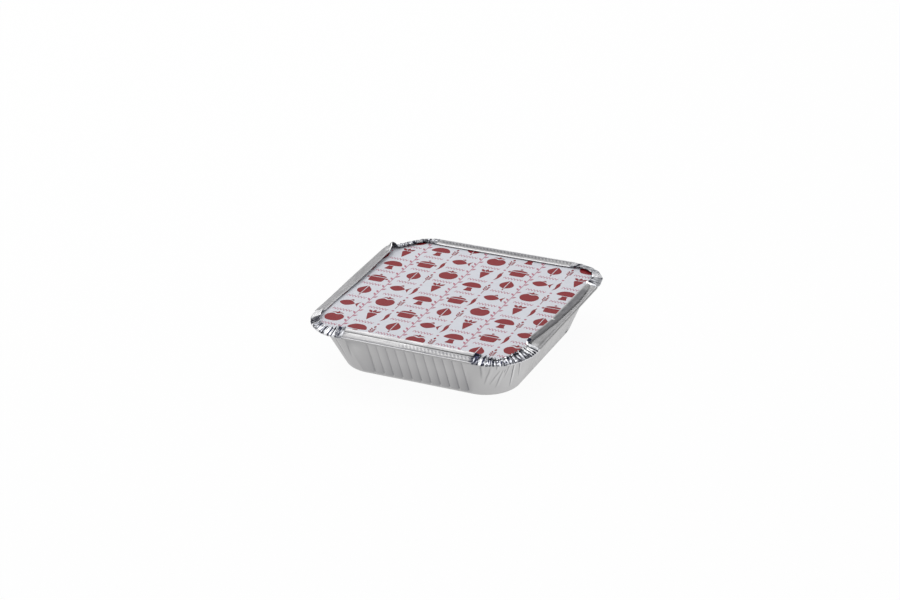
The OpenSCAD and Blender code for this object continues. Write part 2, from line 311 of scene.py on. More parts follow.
def creaseAt(place, height):
    # how far the creases pull the wall in, and their painted shade: a valley with a painted dark flank and a
    # painted light flank
    deep, shade = 0.0, 0.0
    for top, bottom, high, low, depth, width in creaseRows:
        if not low < height < high or abs(place - top) > creases["reach"]:
            continue
        part = (high - height) / (high - low)
        away = (place - mix(top, bottom, part)) * cornerLength
        away += creases["wander"] * grain(height / 7, top * 9, 2.0)
        strength = depth * math.sin(math.pi * min(part + 0.12, 1.0)) ** 0.6
        deep += creases["sink"] * strength * peak(away, 0, width * (1.0 if away < 0 else 2.2))
        shade += creases["darkFlank"] * strength * peak(away, 0, 0.6 * width)
        shade -= creases["lightFlank"] * strength * peak(away, 1.5 * width, 1.2 * width)
    return deep, shade


def bodyPoint(place, section, fluted):
    # a point of the body, its painted shade and highlight, and 0 because the body isn't crushed
    half, radius, height, lean = section
    lean = math.radians(lean)
    push, shade = 0.0, 0.0
    if isinstance(place, tuple):
        side, x = place
        place = 2 * side + 0.5 + x / (2 * (half - radius))
        if fluted:
            groove, shade = fluteAt(x, height)
            push -= groove
    if height > wall["plainBelow"]:
        run = rimRun(place)
        deep, dark = creaseAt(place, height)
        push += wall["swell"] * grain(run / 26, height / 30, 5.0) * smooth(3, 12, height) - deep
        shade += dark + wall["blotches"] * grain(run / 17, height / 25, 8.0)
        # painted shade, darker towards the bottom and more so low on the front wall, and painted light on the
        # front right corner and the right wall
        shade += wall["lowShade"] * (1 - smooth(2, 22, height))
        shade += wall["frontLowShade"] * (1 - smooth(6, 32, height)) * (place < 1)
        if place < 3:
            shade -= wall["cornerLight"] * smooth(0.95, 1.4, place) * (1 - 0.5 * smooth(1.9, 2.1, place))
    spot, out = onOutline(place, half, radius)
    spot = spot + out * push * math.cos(lean)
    return Vector((spot.x, spot.y, height + push * math.sin(lean))), shade, 0.0


# the folded lip. A table runs as [place on the outline, value] round the rim, in millimetres, or in degrees
# off the level for the lifts; "facets" are each corner's pleats, as [place where one ends, its painted shade,
# or painted highlight below 0]
lip = {
    "width": 11.0, "seatDrop": 6.5, "ledgeRun": 1.6, "beadDip": 0.35, "hemSwell": 0.2,
    "fine": 0.55, "wide": 1.08,  # steps along the rim, in the pleats and on the sides
    "widths": [[0, 11], [0.97, 11], [1.3, 7.6], [1.45, 8.4], [1.65, 10.6], [2.01, 11], [2.06, 14],
               [2.405, 11], [2.95, 11], [3.2, 10.5], [3.45, 7.4], [3.7, 7.4], [4.05, 11], [4.95, 11],
               [5.3, 7.4], [5.84, 7.4], [5.89, 5.5], [6.05, 8], [6.5, 8.8], [6.85, 7.2], [7.05, 8],
               [7.2, 9], [7.35, 8.4], [7.7, 7.4], [8, 11]],
    "raises": [[0, 0], [5.84, 0], [5.88, 2.5], [6.05, 3.6], [6.5, 2.3], [6.85, 0.4], [7.02, 0], [8, 0]],
    "hems": [[0, 4], [1.95, 4], [2.05, 4.4], [2.12, 4.6], [2.3, 5.5], [2.5, 6.7], [2.75, 8.3], [2.9, 7],
             [3.02, 4], [5.84, 4], [6.0, 1.8], [7.0, 1.8], [7.5, 4], [8, 4]],
    "lifts": [[0, 33], [0.97, 33], [1.08, 22], [1.5, 20], [1.85, 22], [2.05, 24], [2.08, 34], [2.6, 19],
              [3, 12], [3.5, 9], [4, 4], [5, 4], [5.2, 5], [5.6, 6], [5.84, 6], [5.89, 51], [6.05, 1],
              [6.5, -2], [6.98, 4], [7.06, 22], [7.3, 22], [7.95, 26], [8, 33], [9, 33]],
    "hemRadius": [[0, 0.12], [0.5, 0.16], [1, 0.3], [2.1, 0.4], [3, 0.35], [4, 0.3], [5.84, 0.2],
                  [6, 0.35], [7, 0.35], [7.1, 0.2], [8, 0.12]],
    "starts": [0.97, 3.0, 5.02, 7.03],
    "facets": [
        [[1.04, 0.9], [1.08, -0.4], [1.13, 1.4], [1.15, -0.5], [1.18, 1.1], [1.2, 0.7], [1.23, 1.0],
         [1.265, 0.8], [1.28, 0.2], [1.305, 0.8], [1.34, 0.7], [1.36, -0.2], [1.385, 0.6], [1.45, 0.8],
         [1.47, 0.6], [1.5, 1.0], [1.53, 0.7], [1.575, 0.8], [1.6, 0.4], [1.66, 0.9], [1.67, 0.5],
         [1.72, 0.9], [1.745, -0.3], [1.79, 0.9], [1.805, 0.1], [1.86, 0.95], [1.885, -0.8], [1.92, 1.3],
         [1.945, -0.8], [1.97, 1.4], [1.995, -0.9], [2.015, 1.3], [2.045, -0.6]],
        [[3.04, 0.1], [3.1, 0.1], [3.2, 0.3], [3.31, 0.5], [3.43, -0.7], [3.52, 0.4], [3.6, 0.25],
         [3.68, 0.5], [3.78, 0.3], [3.86, 0.5], [3.89, 1.1], [4.0, 0.35]],
        [[5.06, 0.3], [5.11, 0.6], [5.15, 0.2], [5.2, 1.0], [5.27, 0.9], [5.31, 1.2], [5.37, 0.3],
         [5.43, 0.5], [5.5, 1.1], [5.56, 0.4], [5.62, 0.8], [5.68, 0.3], [5.72, 0.9], [5.78, 0.4],
         [5.82, 0.7], [5.88, 0.6]],
        [[7.05, 0.1], [7.25, -1.6], [7.3, 0.0], [7.46, 1.1], [7.5, -0.9], [7.55, 0.7], [7.6, -0.1],
         [7.64, 0.9], [7.7, -0.9], [7.75, 0.8], [7.78, 1.1], [7.82, 0.5], [7.86, -0.9], [7.9, 1.2],
         [7.93, -0.9], [7.955, 1.1], [7.99, -0.9], [8.02, 0.7], [8.045, 0.5]],
    ],
    # height of the pleats, and how far they push the bend in; the next lists run by corner too
    "pleatRise": [1.3, 1.2, 1.7, 1.2], "wave": 0.7, "crushedHem": 1.6, "askew": 2.4,
    "dents": [0.0, -2.2, 4.0, 0.0], "dentSkew": [0.8, 0.8, 1.25, 0.8],
    "crumple": [0.7, 0.5, 1.8, 0.6], "crumpleShare": 0.5, "streakShading": 1.3, "brightBend": 1.2,
    "crumpleShading": [1.1, 0.6, 0.6, 0.7],
    # painted shadows in gaps of the crushed foil and painted highlights near the lip's edge, as [middle,
    # reach, how dark]
    "patches": [[3.03, 0.025, -1.2], [3.1, 0.04, 0.9], [5.28, 0.04, 1.2], [5.46, 0.05, 1.2],
                [5.86, 0.025, 0.6], [0.985, 0.025, 0.9], [0.012, 0.024, 0.7]],
}
knurls = {"pitch": 3.75, "skew": 0.7, "right": 0.6, "rear": 0.8, "height": 0.3, "light": 0.35}

# painted shade and highlights of the straight lips, on a random grain: above 0 darker, below 0 lighter
tones = {
    "grain": 0.22, "specks": 0.1, "underBend": 0.2, "besideBead": 0.75,
    "front": {"flat": 0.12, "highlightStreak": 0.4, "inner": 0.3, "ripple": 0.3, "leftEnd": 0.7, "rightEnd": 0.8,
              "hem": 0.14, "hemEnd": 0.5},
    "right": {"flat": -0.2, "turn": -0.2, "hem": 0.55, "hemLine": -0.26, "plainEnd": 0.8, "holeShadow": 2.6,
              "nickGlint": -2.4},
    "rear": {"flat": 0.2, "crease": 0.35, "edge": 0.3},
    "left": {"flat": 0.26, "frontEnd": 0.12, "bend": 0.35, "hem": 0.2, "turn": -0.9},
}


def cornerOf(place):
    # the corner whose pleats a place belongs to or lies nearest
    return int(((place - 0.5) % 8) / 2)


def pleatTable():
    # every pleated facet as [start, end, height at its start, height at its end, dark], in millimetres of
    # run; dark is its painted shade, or painted highlight below 0
    table = []
    for corner in range(4):
        start, low = rimRun(lip["starts"][corner]), 0.0
        for number, (place, dark) in enumerate(lip["facets"][corner]):
            end = rimRun(place)
            high = 0.45 + 0.75 * chance(40 * corner + number, 2) if number % 2 == 0 else 0.0
            table.append([start, end, low, high, dark])
            start, low = end, high
    return table


pleats = pleatTable()
pleated = [[rimRun(lip["starts"][corner]), rimRun(lip["facets"][corner][-1][0])] for corner in range(4)]


def pleatAt(run, part):
    # height of the pleats at a run along the rim, the painted shade or highlight of their facet, and whether
    # there are any;
    # part is 0 at the bend and 1 at the edge, and the creases run a little askew across the lip
    at = run if run > pleats[0][0] else run + 4 * quarterLength
    slant = lip["askew"] * grain(at / 5, 0.0, 12.0) * (part - 0.4)
    for start, end in pleated:
        if start <= at <= end:
            at = min(max(at + slant * min(1.0, (at - start) / 3, (end - at) / 3), start), end)
    for start, end, low, high, dark in pleats:
        if start <= at <= end:
            edge = min(1.0, 0.55 + min(at - start, end - at) / 0.8)
            return mix(low, high, (at - start) / (end - start)), dark * edge, 1.0
    return 0.0, 0.0, 0.0


def lipPlaces():
    # places round the lip's rings, in millimetres along the rim: fine in the pleats, wider on the sides
    runs = []
    for corner in range(4):
        start, end = pleated[corner]
        count = round((end - start) / lip["fine"])
        runs += [start + (end - start) * step / count for step in range(count)]
        after = pleated[corner + 1][0] if corner < 3 else pleated[0][0] + 4 * quarterLength
        count = round((after - end) / lip["wide"])
        runs += [end + (after - end) * step / count for step in range(count)]
    return runs


def lipProfile():
    # stations across the lip as (kind, value): the bend by angle, the lip by run (of 11 mm, less where the
    # lip is narrower), the hem's turn by angle, and the hem's top by run from the edge
    profile = [("ledge", 0.0)]
    profile += [("bend", angle) for angle in (-90, -55, -20, 10, 40, 70, 100)]
    profile += [("flat", run) for run in (0.6, 1.2, 1.9, 2.7, 3.5, 4.3, 5.1, 6.0, 7.2, 8.8)]
    profile += [("turn", angle) for angle in (0, 60, 120, 180)]
    profile += [("top", run) for run in (1.0, 2.2, 3.2, 4.0)]
    return profile


def knurl(place, run, out):
    # small dents pressed along the lip beside the bend, on the front, right and rear sides
    window = 0.0
    if 0.42 < place < 0.97:
        window = smooth(0.42, 0.5, place) * (1 - smooth(0.93, 0.97, place))
    if 2.3 < place < 3.0:
        window = knurls["right"] * smooth(2.3, 2.5, place)
    if 4.0 < place < 5.0:
        window = knurls["rear"]
    beat = math.sin(2 * math.pi * (run + knurls["skew"] * out) / knurls["pitch"])
    return window * beat * smooth(1.4, 2.2, out) * (1 - smooth(4.6, 6.0, out))


def frontTone(place, run, kind, value):
    # random long ripples; painted: a highlight streak, shade on the right half's inner part and on the hem,
    # and shade where the pleats begin at either end
    front = tones["front"]
    if kind == "flat":
        tone = front["flat"] + front["ripple"] * grain(run / 22, value / 0.7, 30.0)
        tone -= front["highlightStreak"] * (2 - smooth(0.3, 0.5, place)) * bell(value, 7, 0.9)
        tone += front["inner"] * smooth(0.52, 0.68, place) * smooth(3.0, 4.6, value)
        tone += front["leftEnd"] * (1 - smooth(0.0, 0.06, place - 0.006 * value))
        return tone + front["rightEnd"] * smooth(0.94, 0.97, place)
    across = value if kind == "top" else 0.0
    tone = front["hem"] + front["ripple"] * grain(run / 25, across / 0.7, 50.0)
    return tone + front["hemEnd"] * smooth(0.96, 0.968, place)


def rightTone(place, kind, value):
    # painted: a dark hem with a lighter line along it, a black shadow in the hole at its front end and a
    # bright glint on a nick farther on
    right = tones["right"]
    if kind == "flat":
        return right["flat"]
    across = value if kind == "top" else 0.0
    tone = right["holeShadow"] * (1 - smooth(2.066, 2.074, place)) * (1 - smooth(1.6, 2.6, across))
    tone += right["nickGlint"] * peak(place, 2.405, 0.009) * (across < 1.5)
    if kind == "turn":
        return tone + right["turn"] * (place > 2.2)
    fromEdge = along(place, lip["hems"]) * (1 - value / 4)
    line = right["hem"] + right["hemLine"] * bell(fromEdge, 2, 0.6)
    return tone + line * (1 - right["plainEnd"] * smooth(2.89, 2.93, place))


def rearTone(place, kind, value):
    # painted shade of one long crease and of a darker inner edge at its left end, on a darker flat
    if kind != "flat":
        return 0.0
    rear = tones["rear"]
    tone = rear["crease"] * smooth(4.15, 4.4, place) * smooth(2.2, 3.4, value) * (1 - smooth(6, 7, value))
    return rear["flat"] + tone + rear["edge"] * smooth(4.6, 4.8, place) * smooth(5, 6.5, value)


def leftTone(place, kind, value):
    # painted: a darker flat, bend and hem, and a lighter inner edge that offsets the shade under the raised
    # lip
    left = tones["left"]
    if kind == "flat":
        return (left["flat"] + left["frontEnd"] * smooth(6.55, 6.8, place)) * (place >= 6)
    if kind == "bend":
        return left["bend"] * (value > 0 and place < 7)
    return left["hem" if kind == "top" else "turn"] * (place < 7)


def lipTone(place, run, kind, value):
    # painted shade and highlights of the straight lips on a random fine grain: shade under the bend, a dark
    # line beside the bead, and each side's own marks
    tone = 0.0
    if kind != "bend":
        tone += tones["grain"] * grain(run / 8, value / 0.9, 3.0)
        tone += tones["specks"] * grain(run / 1.6, value / 2, 9.0)
    elif -70 < value < -10:
        tone += tones["underBend"]
    if kind == "flat" and place < 6 and not 2 <= place < 3:
        tone += tones["besideBead"] * bell(value, 0.95, 0.5)
    if 5.9 <= place and kind != "ledge":
        return tone + leftTone(place, kind, value)
    if kind in ("ledge", "bend"):
        return tone
    if place < 1:
        return tone + frontTone(place, run, kind, value)
    if 2 <= place < 3:
        return tone + rightTone(place, kind, value)
    if 4 <= place < 5:
        return tone + rearTone(place, kind, value)
    return tone


def lipSection(place, kind, value, crushed, pressed):
    # a station's place in the lip's section, as (out, up) from the middle of the bend
    radius, width = sheet["bendRadius"], along(place, lip["widths"])
    hemRadius, raised = along(place, lip["hemRadius"]), along(place, lip["raises"])
    lift = along(place, lip["lifts"]) - lip["seatDrop"]
    fold = math.radians(lift)
    inward = Vector((-math.cos(fold), math.sin(fold)))
    upward = Vector((math.sin(fold), math.cos(fold)))
    if kind == "ledge":
        return Vector((-lip["ledgeRun"], -radius))
    if kind == "bend":
        angle = math.radians(min(value, 90 - lift * smooth(0, 90, value)))
        return Vector((radius * math.cos(angle), (radius + raised * (angle > 0)) * math.sin(angle)))
    if kind == "flat":
        dip = lip["beadDip"] * bell(value, 1.1, 0.6) * (1 - crushed) * (place < 6)
        spot = radius * upward + value * (width / lip["width"]) * inward
        spot += (knurls["height"] * pressed - dip) * upward
    elif kind == "turn":
        angle = math.radians(value)
        spot = radius * upward + (width + hemRadius * math.sin(angle)) * inward
        spot += hemRadius * (1 - math.cos(angle)) * upward
    else:
        swell = lip["hemSwell"] * math.sin(math.pi * min(value / 4, 1)) * (1 - crushed)
        back = value * mix(along(place, lip["hems"]), lip["crushedHem"], crushed) / 4
        spot = radius * upward + (width - back) * inward + (2 * hemRadius + swell) * upward
    return spot + Vector((0, raised))


def crumpled(place, run, kind, value, part):
    # how far crushed foil is pushed up and out, and its painted shade and highlights: following the crumples,
    # in fine streaks, a highlight along the bend and single spots
    corner = cornerOf(place)
    onBend = kind == "bend"
    size, across = lip["crumple"][corner], value / 90 if onBend else value / 3.5
    crumple = grain(run / 2.4, across, 7.0) * size * (0.5 if 7.05 < place < 7.5 else 1)
    up = lip["crumpleShare"] * crumple * (0.6 if onBend else 1.0)
    outward = lip["crumpleShare"] * grain(run / 2.4, across, 47.0) * size
    shade = lip["crumpleShading"][corner] * (crumple + lip["streakShading"] * grain(run / 0.95, part * 2, 17))
    # painted highlight along the bend below the front right corner's pleats
    if onBend and 1.45 < place < 2.04:
        shade -= lip["brightBend"] * (-25 < value < 15)
    for middle, reach, dark in lip["patches"]:
        shade += dark * max(0.0, 1 - ((place - middle) / reach) ** 2) * smooth(0.4, 0.8, part)
    return up, outward, shade


def lipPoint(run, kind, value):
    # a point of the lip, its painted shade or highlight and how crushed it is
    around = run % (4 * quarterLength)
    place = rimPlace(around)
    part = {"ledge": 0.0, "bend": 0.0, "flat": value / lip["width"], "turn": 1.0,
            "top": 1 - value / lip["width"]}[kind]
    pleat, shade, inPleat = pleatAt(around, part)
    pressed = knurl(place, run, value) * (1 - inPleat) if kind == "flat" else 0.0
    spot = lipSection(place, kind, value, inPleat, pressed)
    corner = cornerOf(place)
    if kind not in ("ledge", "bend"):
        low = 1 - 0.4 * smooth(1.95, 2.05, place) if corner == 0 else 1.0
        spot.y += lip["pleatRise"][corner] * pleat * (0.3 + 0.7 * part ** 0.8) * low
    if kind != "ledge":
        spot.x -= lip["wave"] * pleat
    if inPleat and kind != "ledge":
        up, outward, dark = crumpled(place, run, kind, value, part)
        spot += Vector((outward, up))
        shade += dark
    beside = place - 2 * corner - 1
    if 0 < beside < 1:
        spot.x -= lip["dents"][corner] * math.sin(math.pi * beside ** lip["dentSkew"][corner]) ** 2
    half = sheet["rimHalf"] - sheet["bendRadius"] + spot.x
    turnRadius = max(sheet["rimRadius"] - sheet["bendRadius"] + spot.x, 1.0)
    flat, _ = onOutline(place, half, turnRadius)
    crushed = {"ledge": 0.0, "bend": smooth(-60, 0, value)}.get(kind, 1.0) * inPleat
    # painted light and shade on the knurl's dents
    plain = lipTone(place, run, kind, value) - knurls["light"] * pressed
    height = sheet["ledgeHeight"] + sheet["bendRadius"] + spot.y
    return Vector((flat.x, flat.y, height)), shade * crushed + plain * (1 - inPleat), crushed


def loopOf(bm, count):
    # a closed ring of edges
    made = bmesh.ops.create_circle(bm, cap_ends=False, segments=count, radius=1)
    return made["verts"], list({edge for vert in made["verts"] for edge in vert.link_edges})


def loft(bm, count, rings, pointOf):
    # walks a ring of edges through every station; pointOf gives each vertex its place, its painted shade and
    # how crushed it is
    verts, edges = loopOf(bm, count)
    shade, crushed = bm.verts.layers.float["shade"], bm.verts.layers.float["crushed"]
    first = list(edges)
    number = {vert: index for index, vert in enumerate(verts)}
    for vert, index in number.items():
        vert.co, vert[shade], vert[crushed] = pointOf(index, 0)
    for ring in range(1, rings):
        made = bmesh.ops.extrude_edge_only(bm, edges=edges)["geom"]
        fresh = {}
        for vert in made:
            if isinstance(vert, bmesh.types.BMVert):
                below = [edge.other_vert(vert) for edge in vert.link_edges]
                fresh[vert] = next(number[other] for other in below if other in number)
                vert.co, vert[shade], vert[crushed] = pointOf(fresh[vert], ring)
        number = fresh
        edges = [edge for edge in made if isinstance(edge, bmesh.types.BMEdge)
                 and edge.verts[0] in fresh and edge.verts[1] in fresh]
    return first, edges


def finishPiece(bm, name, material, sharp=None):
    # the mesh, brought to metres, becomes an object that rides on the root body
    mesh = bpy.data.meshes.new(name)
    bmesh.ops.scale(bm, vec=(mm, mm, mm), verts=bm.verts)
    bm.to_mesh(mesh)
    bm.free()
    piece = bpy.data.objects.new(name, mesh)
    bpy.context.scene.collection.objects.link(piece)
    if sharp:
        mesh.shade_smooth()
        mesh.set_sharp_from_angle(angle=math.radians(sharp))
    mesh.materials.append(material)
    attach(piece, "root")
    return piece


def makeTray(material):
    # one sheet of foil: the body's rings and the lip's rings are joined at the ledge, and the base is closed
    bm = bmesh.new()
    for name in ("shade", "crushed"):
        bm.verts.layers.float.new(name)
    places = bodyPlaces()
    profile, firstWall, lastWall = bodyProfile()
    first, ledge = loft(bm, len(places), len(profile), lambda index, ring: bodyPoint(
        places[index], profile[ring], firstWall <= ring < lastWall))
    runs, stations = lipPlaces(), lipProfile()
    start, _ = loft(bm, len(runs), len(stations), lambda index, ring: lipPoint(runs[index], *stations[ring]))
    bmesh.ops.bridge_loops(bm, edges=ledge + start)
    bmesh.ops.contextual_create(bm, geom=first)
    bmesh.ops.recalc_face_normals(bm, faces=bm.faces)
    piece = finishPiece(bm, "foilTray", material, sharp=40)
    thick = piece.modifiers.new("foil", "SOLIDIFY")
    thick.thickness = sheet["thickness"] * mm
    thick.offset = 0
    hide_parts("foil_tray")
    return piece


# finishes: a mottle runs between the two colours of a pair, and roughness is the foil's least and how much
# the mottle adds to it; the foil's dark is painted shade with a bluish painted reflection, and bright is
# painted highlight
looks = {
    "satin": [(0.433, 0.43, 0.433, 1), (0.503, 0.50, 0.503, 1)], "crushedSheen": (0.62, 0.63, 0.66, 1),
    "dark": (0.019, 0.0205, 0.04, 1), "bright": (0.97, 0.97, 0.98, 1), "shadeShare": 0.9,
    "roughness": [0.30, 0.14], "keenest": 0.22,
    "board": [(0.59, 0.605, 0.655, 1), (0.65, 0.665, 0.715, 1)],
    "burgundyInk": [(0.215, 0.01, 0.015, 1), (0.25, 0.016, 0.022, 1)],
    "paleInk": [(0.40, 0.13, 0.18, 1), (0.46, 0.18, 0.24, 1)],
}


def mottled(wire, scale, detail):
    # noise on the piece's own coordinates
    spot = wire.node("ShaderNodeTexCoord", output=3)
    return wire.node("ShaderNodeTexNoise", {}, {"Vector": spot, "Scale": scale, "Detail": detail})


def foilMaterial():
    # satin foil; the crushed foil in the pleats mirrors more sharply and gets a lighter colour, a painted
    # sheen
    material, shader, wire = newMaterial("foil", {"Metallic": 1.0})
    crushed = wire.node("ShaderNodeAttribute", {"attribute_name": "crushed"}, output=2)
    shade = wire.node("ShaderNodeAttribute", {"attribute_name": "shade"}, output=2)
    mottle, fine = mottled(wire, 60.0, 4.0), mottled(wire, 900.0, 3.0)
    keen = wire.node("ShaderNodeMapRange", {}, {0: shade, 1: -0.9, 2: -0.2, 3: 0.0, 4: looks["keenest"]})
    plain, varying = looks["roughness"]
    feed(shader, "Roughness", (plain + varying * mottle) - crushed * keen)
    satin = mixColour(wire, mottle, *looks["satin"])
    crushedSheen = mixColour(wire, crushed, satin, looks["crushedSheen"])
    # the shade attribute paints shade, above 0, and highlights, below 0, into the foil's colour
    dark = mixColour(wire, shade * looks["shadeShare"], crushedSheen, looks["dark"])
    feed(shader, "Base Color", mixColour(wire, shade * -looks["shadeShare"], dark, looks["bright"]))
    bump = wire.node("ShaderNodeBump", {}, {"Strength": 0.2, "Distance": 0.00006, "Height": fine})
    feed(shader, "Normal", bump)
    return material


def boardMaterial():
    material, shader, wire = newMaterial("board", {"Roughness": 0.45, "Specular IOR Level": 0.4})
    mottle = mottled(wire, 220.0, 5.0)
    feed(shader, "Base Color", mixColour(wire, mottle, *looks["board"]))
    bump = wire.node("ShaderNodeBump", {}, {"Strength": 0.1, "Distance": 0.00005, "Height": mottle})
    feed(shader, "Normal", bump)
    return material


def inkMaterial(name):
    material, shader, wire = newMaterial(name, {"Roughness": 0.5, "Specular IOR Level": 0.25})
    feed(shader, "Base Color", mixColour(wire, mottled(wire, 400.0, 4.0), *looks[name]))
    return material


def dress(node, material):
    # gives a CAD node its finish
    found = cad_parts[node]
    found.data.materials.clear()
    found.data.materials.append(material)


tray = makeTray(foilMaterial())
print("scene: tray made,", 2 * sum(len(face.vertices) - 2 for face in tray.data.polygons), "triangles")

# the print: kitchen shapes in a half-drop layout, each a list of loops in a unit square; a point's third
# value marks a corner, the other points are joined by a smooth curve
motifs = {
    "tomato": [[(0, 0.2), (0.22, 0.27), (0.42, 0.12), (0.46, -0.12), (0.3, -0.38), (0, -0.45), (-0.3, -0.38),
                (-0.46, -0.12), (-0.42, 0.12), (-0.22, 0.27)],
               [(0, 0.27, 1), (0.14, 0.34), (0.32, 0.34, 1), (0.17, 0.42), (0.06, 0.41, 1), (0.04, 0.5, 1),
                (-0.04, 0.5, 1), (-0.05, 0.41, 1), (-0.17, 0.42), (-0.32, 0.34, 1), (-0.14, 0.34)]],
    "pot": [[(-0.4, 0.02, 1), (0.4, 0.02, 1), (0.37, -0.3), (0.28, -0.42), (-0.28, -0.42), (-0.37, -0.3)],
            [(0.42, 0.0, 1), (0.53, 0.0), (0.53, -0.12), (0.41, -0.12, 1)],
            [(-0.42, 0.0, 1), (-0.41, -0.12, 1), (-0.53, -0.12), (-0.53, 0.0)],
            [(-0.42, 0.07, 1), (0.42, 0.07, 1), (0.3, 0.19), (0, 0.24), (-0.3, 0.19)],
            [(0, 0.27), (0.07, 0.33), (0, 0.39), (-0.07, 0.33)]],
    "mushroom": [[(-0.48, 0.02), (-0.4, 0.26), (-0.18, 0.42), (0.18, 0.42), (0.4, 0.26), (0.48, 0.02),
                  (0.2, -0.05), (-0.2, -0.05)],
                 [(-0.13, -0.1, 1), (0.13, -0.1, 1), (0.15, -0.3), (0.19, -0.46), (-0.19, -0.46),
                  (-0.15, -0.3)]],
    "fish": [[(-0.5, 0), (-0.36, 0.18), (-0.12, 0.27), (0.1, 0.18), (0.26, 0.04, 1), (0.26, -0.04, 1),
              (0.1, -0.18), (-0.12, -0.27), (-0.36, -0.18)],
             [(0.29, 0.0, 1), (0.5, 0.26, 1), (0.45, 0.0), (0.5, -0.26, 1)],
             [(-0.1, 0.3, 1), (0.04, 0.4, 1), (0.12, 0.24, 1)]],
    "carrot": [[(-0.23, 0.14), (0, 0.2), (0.23, 0.14), (0.14, -0.16), (0, -0.5, 1), (-0.14, -0.16)],
               [(0, 0.23, 1), (0.09, 0.36), (0, 0.52), (-0.09, 0.36)],
               [(0.06, 0.22, 1), (0.24, 0.28), (0.3, 0.46), (0.13, 0.4)],
               [(-0.06, 0.22, 1), (-0.13, 0.4), (-0.3, 0.46), (-0.24, 0.28)]],
    "leaf": [[(0.02, -0.36, 1), (0.29, -0.18), (0.33, 0.12), (0.02, 0.48, 1)],
             [(-0.02, 0.48, 1), (-0.33, 0.12), (-0.29, -0.18), (-0.02, -0.36, 1)],
             [(-0.025, -0.38, 1), (0.025, -0.38, 1), (0.035, -0.52, 1), (-0.035, -0.52, 1)]],
    "chilli": [[(-0.06, 0.3), (0.06, 0.3), (0.11, 0.1), (0.06, -0.2), (-0.08, -0.46, 1), (-0.04, -0.16),
                (-0.08, 0.1)],
               [(-0.07, 0.34), (0, 0.4), (0.02, 0.5, 1), (0.07, 0.49, 1), (0.05, 0.4), (0.07, 0.34)]],
    "ear": [[(0, 0.32, 1), (0.06, 0.42), (0, 0.52), (-0.06, 0.42)],
            [(-0.02, -0.5, 1), (0.02, -0.5, 1), (0, 0.3)]]
           + [[(0.02 * side, top, 1), (0.1 * side, top + 0.06), (0.13 * side, top + 0.16),
               (0.05 * side, top + 0.12)] for side in (-1, 1) for top in (-0.14, 0.0, 0.14)],
}
pattern = {"pitch": 31.0, "row": 30.0, "size": 20.5, "columns": 8, "rows": 5,
           "large": ["pot", "leaf", "fish", "tomato", "carrot", "mushroom"], "slender": ["chilli", "ear"],
           "waveLength": 20.0, "waveHeight": 3.2, "waveStep": 3.1, "wavePoints": 44, "waveThick": [0.75, 0.3],
           "dot": 1.3, "stem": 0.35, "leaves": 5, "leafSize": 6.4,
           "vineLeaf": [(0.04, 0.0, 1), (0.38, 0.12), (0.62, 0.62, 1), (0.22, 0.5)],
           "lidInset": 1.9, "margin": 4.0, "radius": 36.0, "trimSteps": 8}


def curved(points, steps=5):
    # closed Catmull-Rom curve through a motif's points, sharp at the marked ones
    found = []
    count = len(points)
    for index in range(count):
        p1, p2 = points[index], points[(index + 1) % count]
        p0 = p1 if len(p1) > 2 else points[index - 1]
        p3 = p2 if len(p2) > 2 else points[(index + 2) % count]
        a, b, c, d = (Vector(p[:2]) for p in (p0, p1, p2, p3))
        found += [0.5 * (2 * b + (c - a) * t + (2 * a - 5 * b + 4 * c - d) * t * t
                         + (3 * b - a - 3 * c + d) * t ** 3) for t in (step / steps for step in range(steps))]
    return found


def stamped(name, centre):
    return [[centre + pattern["size"] * spot for spot in curved(loop)] for loop in motifs[name]]


def wave(centre):
    # a hand-drawn looking wavy band
    top, bottom = [], []
    count, step = pattern["wavePoints"], pattern["waveStep"]
    thin, swell = pattern["waveThick"]
    for index in range(count + 1):
        x = pattern["waveLength"] * (index / count - 0.5)
        swing = pattern["waveHeight"] * 0.5 * math.sin(2 * math.pi * x / step)
        swing *= 1 - 0.5 * abs(index / count - 0.5)
        thick = thin + swell * math.cos(2 * math.pi * x / step + 1)
        top.append(centre + Vector((x, swing + thick)))
        bottom.append(centre + Vector((x, swing - thick)))
    return top + bottom[::-1]


def dot(centre):
    return [centre + pattern["dot"] * Vector((math.cos(turn * math.pi / 6), math.sin(turn * math.pi / 6)))
            for turn in range(12)]


def vine(centre):
    # a straight stem one row long, with leaves to the left and right in turn
    row, wide, count = pattern["row"], pattern["stem"], pattern["leaves"]
    loops = []
    for step in range(count):
        side = 1 if step % 2 else -1
        stem = centre + Vector((0.0, row * (step / count - 0.5)))
        loops.append([stem + Vector((side * x, y)) * pattern["leafSize"]
                      for x, y in curved(pattern["vineLeaf"])])
    corners = ((-wide, -row / 2), (wide, -row / 2), (wide, row / 2), (-wide, row / 2))
    return loops + [[centre + Vector(spot) for spot in corners]]


def shapesFor(pale):
    # every printed loop in millimetres: motifs and sprigs in burgundy, waves, dots and vines in the pale ink
    pitch, row, large, slender = (pattern[key] for key in ("pitch", "row", "large", "slender"))
    loops = []
    for column in range(-pattern["columns"], pattern["columns"] + 1):
        for line in range(-pattern["rows"], pattern["rows"] + 1):
            centre = Vector((column * pitch / 2, (line + 0.5 * (column % 4 == 2)) * row))
            above = centre + Vector((0, row / 2))
            if column % 2 == 0:
                loops += [wave(above)] if pale else stamped(large[(column - line) % len(large)], centre)
            elif column % 4 == 1:
                loops += [dot(above)] if pale else stamped(slender[line % len(slender)], centre)
            elif pale:
                loops += vine(centre)
    return loops


def trim(bm, half, radius):
    # cuts the print off along a square with rounded corners
    centre = half - radius
    for quarter in range(4):
        for step in range(pattern["trimSteps"]):
            turn = math.radians(90 * quarter + 90 * step / pattern["trimSteps"])
            way = Vector((math.cos(turn), math.sin(turn), 0))
            corner = Vector((centre if way.x > -0.01 else -centre, centre if way.y > -0.01 else -centre, 0))
            bmesh.ops.bisect_plane(bm, geom=bm.verts[:] + bm.edges[:] + bm.faces[:],
                                   plane_co=corner + way * radius, plane_no=way, clear_outer=True)


